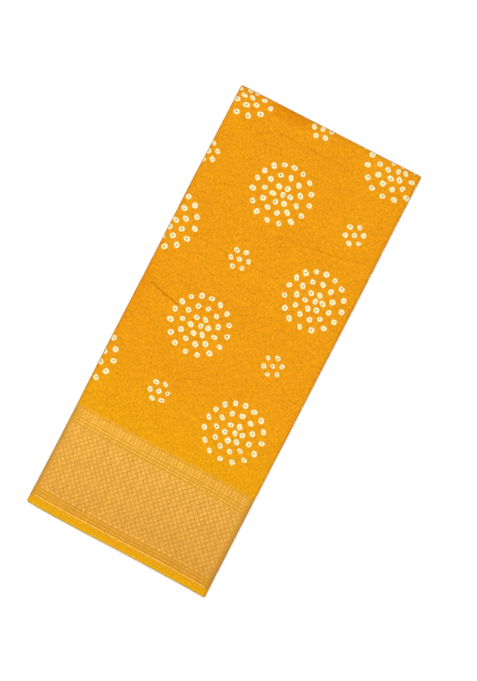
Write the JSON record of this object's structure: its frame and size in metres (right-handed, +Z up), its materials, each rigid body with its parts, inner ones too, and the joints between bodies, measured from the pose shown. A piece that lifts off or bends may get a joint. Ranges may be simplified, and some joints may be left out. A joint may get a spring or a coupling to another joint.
{
  "type": "folded printed silk saree",
  "caption": "Long printed silk cloth with a woven gold border, folded in half across its width and laid back and forth into a flat oblong pack that lies on its underside.",
  "frame": {"origin": "middle of the pack's outline, on the face that it rests on", "axes": "+X across the pack from the left side fold to the right one, +Y from the selvages to the half fold, +Z up"},
  "size_m": [0.2476, 0.578, 0.0174],
  "materials": {
    "silk": "mustard yellow slub silk with white resist dots and a woven gold border"
  },
  "bodies": {
    "root": {"saree": "silk"}
  },
  "joints": []
}
